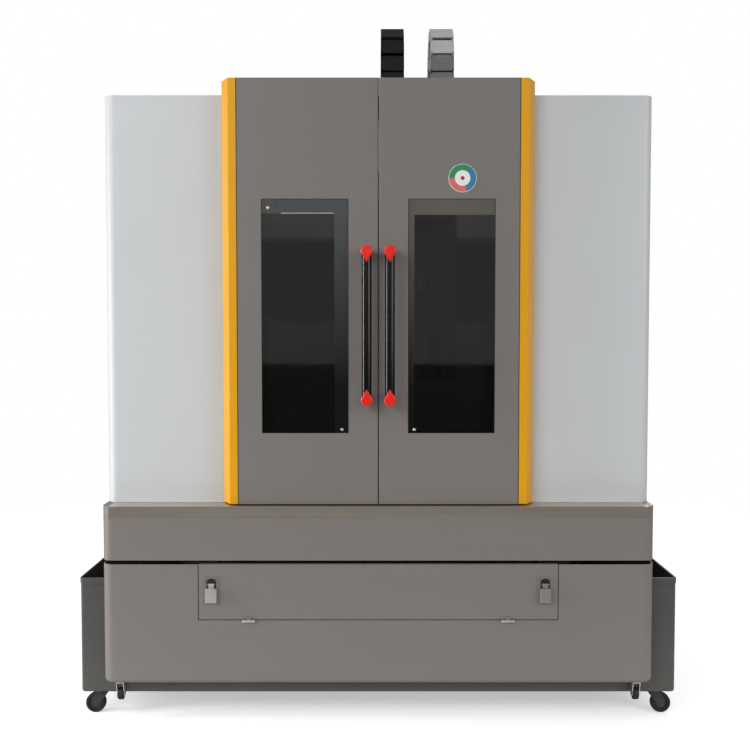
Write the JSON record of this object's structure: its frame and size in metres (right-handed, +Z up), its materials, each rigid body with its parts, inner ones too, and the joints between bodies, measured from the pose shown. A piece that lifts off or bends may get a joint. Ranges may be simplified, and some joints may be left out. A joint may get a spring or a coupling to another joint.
{
  "type": "cnc gantry milling machine",
  "caption": "Enclosed gantry milling machine with sliding front doors, a moving table, a spindle head and a roll-out coolant tank.",
  "frame": {"origin": "floor level under the middle of the machine", "axes": "+Z up, the doors look along -Y, +X to the right as one faces the doors"},
  "size_m": [2.244, 2.253, 2.7983],
  "materials": {
    "taupe_paint": "fine textured powder coat",
    "white_paint": "smooth powder coat",
    "yellow_paint": "smooth powder coat",
    "tank_paint": "satin powder coat",
    "casting_paint": "machine enamel on cast iron",
    "ground_iron": "ground",
    "stainless": "brushed",
    "rail_steel": "ground",
    "spindle_steel": "turned",
    "zinc_steel": "zinc plated",
    "motor_black": "satin",
    "handle_black": "satin powder coat",
    "handle_red": "moulded",
    "tinted_glass": "tinted safety glass",
    "chain_black": "moulded nylon",
    "chain_grey": "moulded nylon",
    "bellows_cloth": "coated cloth",
    "caster_steel": "satin",
    "wheel_black": "moulded",
    "cabinet_paint": "textured powder coat",
    "pump_paint": "satin"
  },
  "bodies": {
    "machine": {"base_casting": "casting_paint", "leveling_feet": "zinc_steel", "left_column": "casting_paint", "right_column": "casting_paint", "cross_beam": "casting_paint", "y_rails": "rail_steel", "x_rails": "rail_steel", "axis_motors": "motor_black", "upper_skirt": "taupe_paint", "sill_strip": "stainless", "left_shell": "white_paint", "right_shell": "white_paint", "rear_panel": "white_paint", "door_rail": "zinc_steel", "electrical_cabinet": "cabinet_paint", "x_chain": "chain_black", "x_bellows": "bellows_cloth", "y_bellows": "bellows_cloth"},
    "left_door": {"left_door_panel": "taupe_paint", "left_window": "tinted_glass", "left_edge_strip": "yellow_paint", "left_handle_bar": "handle_black", "left_handle_caps": "handle_red"},
    "right_door": {"right_door_panel": "taupe_paint", "right_window": "tinted_glass", "right_edge_strip": "yellow_paint", "right_handle_bar": "handle_black", "right_handle_caps": "handle_red"},
    "table": {"worktable": "ground_iron"},
    "saddle": {"saddle": "casting_paint", "z_rails": "rail_steel", "z_motor": "motor_black", "black_chain": "chain_black", "grey_chain": "chain_grey"},
    "head": {"z_head": "casting_paint", "spindle_housing": "spindle_steel"},
    "spindle": {"spindle_shaft": "rail_steel"},
    "x_screw": {"x_screw": "rail_steel"},
    "y_screw": {"y_screw": "rail_steel"},
    "z_screw": {"z_screw": "rail_steel"},
    "tank": {"coolant_tank": "tank_paint", "chip_tray": "stainless", "coolant_pump": "pump_paint", "front_cover": "taupe_paint", "small_caster_forks": "zinc_steel"},
    "flap": {"flap_panel": "taupe_paint", "latch_plates": "stainless"},
    "left_latch": {"left_latch_lever": "stainless"},
    "right_latch": {"right_latch_lever": "stainless"},
    "cabinet_door": {"cabinet_door": "cabinet_paint"},
    "left_small_wheel": {"left_small_wheel": "wheel_black"},
    "right_small_wheel": {"right_small_wheel": "wheel_black"},
    "front_left_caster_fork": {"front_left_caster_fork": "caster_steel"},
    "front_left_caster_wheel": {"front_left_caster_wheel": "wheel_black"},
    "front_right_caster_fork": {"front_right_caster_fork": "caster_steel"},
    "front_right_caster_wheel": {"front_right_caster_wheel": "wheel_black"},
    "rear_left_caster_fork": {"rear_left_caster_fork": "caster_steel"},
    "rear_left_caster_wheel": {"rear_left_caster_wheel": "wheel_black"},
    "rear_right_caster_fork": {"rear_right_caster_fork": "caster_steel"},
    "rear_right_caster_wheel": {"rear_right_caster_wheel": "wheel_black"}
  },
  "joints": [
    {"name": "left_door_slide", "type": "slide", "parent": "machine", "child": "left_door", "axis": [-1, 0, 0], "range_m": [0, 0.42]},
    {"name": "right_door_slide", "type": "slide", "parent": "machine", "child": "right_door", "axis": [1, 0, 0], "range_m": [0, 0.42]},
    {"name": "x_slide", "type": "slide", "parent": "machine", "child": "saddle", "axis": [1, 0, 0], "range_m": [-0.572, 0.228], "deforming": ["x_chain", "x_bellows"]},
    {"name": "y_slide", "type": "slide", "parent": "machine", "child": "table", "axis": [0, 1, 0], "range_m": [-0.35, 0.35], "deforming": ["y_bellows"]},
    {"name": "z_slide", "type": "slide", "parent": "saddle", "child": "head", "axis": [0, 0, 1], "range_m": [-0.33, 0], "deforming": ["black_chain", "grey_chain"]},
    {"name": "spindle_spin", "type": "hinge", "parent": "head", "child": "spindle", "pos_m": [0.172, -0.2075, 1.32], "axis": [0, 0, 1], "continuous": true},
    {"name": "x_screw_spin", "type": "hinge", "parent": "machine", "child": "x_screw", "pos_m": [0, 0.066, 1.7], "axis": [1, 0, 0], "continuous": true},
    {"name": "y_screw_spin", "type": "hinge", "parent": "machine", "child": "y_screw", "pos_m": [0, -0.2075, 0.719], "axis": [0, 1, 0], "continuous": true},
    {"name": "z_screw_spin", "type": "hinge", "parent": "saddle", "child": "z_screw", "pos_m": [0.172, -0.0415, 1.232], "axis": [0, 0, 1], "continuous": true},
    {"name": "tank_slide", "type": "slide", "parent": "machine", "child": "tank", "axis": [0, -1, 0], "range_m": [0, 1.2]},
    {"name": "flap_hinge", "type": "hinge", "parent": "tank", "child": "flap", "pos_m": [0, -1.082, 0.385], "axis": [1, 0, 0], "range_deg": [0, 100]},
    {"name": "cabinet_door_hinge", "type": "hinge", "parent": "machine", "child": "cabinet_door", "pos_m": [0.4, 1.1185, 1.5], "axis": [0, 0, -1], "range_deg": [0, 110]},
    {"name": "left_latch_turn", "type": "hinge", "parent": "flap", "child": "left_latch", "pos_m": [-0.615, -1.0838, 0.522], "axis": [-1, 0, 0], "range_deg": [0, 75]},
    {"name": "left_small_wheel_spin", "type": "hinge", "parent": "tank", "child": "left_small_wheel", "pos_m": [-0.96, -1.0425, 0.1015], "axis": [1, 0, 0], "continuous": true},
    {"name": "right_latch_turn", "type": "hinge", "parent": "flap", "child": "right_latch", "pos_m": [0.615, -1.0838, 0.522], "axis": [-1, 0, 0], "range_deg": [0, 75]},
    {"name": "right_small_wheel_spin", "type": "hinge", "parent": "tank", "child": "right_small_wheel", "pos_m": [0.96, -1.0425, 0.1015], "axis": [1, 0, 0], "continuous": true},
    {"name": "front_left_caster_swivel", "type": "hinge", "parent": "tank", "child": "front_left_caster_fork", "pos_m": [-1.053, -0.9605, 0.092], "axis": [0, 0, 1], "continuous": true},
    {"name": "front_left_caster_spin", "type": "hinge", "parent": "front_left_caster_fork", "child": "front_left_caster_wheel", "pos_m": [-1.078, -0.9605, 0.0375], "axis": [0, 1, 0], "continuous": true},
    {"name": "front_right_caster_swivel", "type": "hinge", "parent": "tank", "child": "front_right_caster_fork", "pos_m": [1.053, -0.9605, 0.092], "axis": [0, 0, 1], "continuous": true},
    {"name": "front_right_caster_spin", "type": "hinge", "parent": "front_right_caster_fork", "child": "front_right_caster_wheel", "pos_m": [1.078, -0.9605, 0.0375], "axis": [0, 1, 0], "continuous": true},
    {"name": "rear_left_caster_swivel", "type": "hinge", "parent": "tank", "child": "rear_left_caster_fork", "pos_m": [-1.053, 0.5705, 0.092], "axis": [0, 0, 1], "continuous": true},
    {"name": "rear_left_caster_spin", "type": "hinge", "parent": "rear_left_caster_fork", "child": "rear_left_caster_wheel", "pos_m": [-1.078, 0.5705, 0.0375], "axis": [0, 1, 0], "continuous": true},
    {"name": "rear_right_caster_swivel", "type": "hinge", "parent": "tank", "child": "rear_right_caster_fork", "pos_m": [1.053, 0.5705, 0.092], "axis": [0, 0, 1], "continuous": true},
    {"name": "rear_right_caster_spin", "type": "hinge", "parent": "rear_right_caster_fork", "child": "rear_right_caster_wheel", "pos_m": [1.078, 0.5705, 0.0375], "axis": [0, 1, 0], "continuous": true}
  ],
  "couplings": [
    {"joint": "x_screw_spin", "follows": "x_slide", "rad_per_m": 314.16},
    {"joint": "y_screw_spin", "follows": "y_slide", "rad_per_m": 314.16},
    {"joint": "z_screw_spin", "follows": "z_slide", "rad_per_m": 314.16}
  ]
}
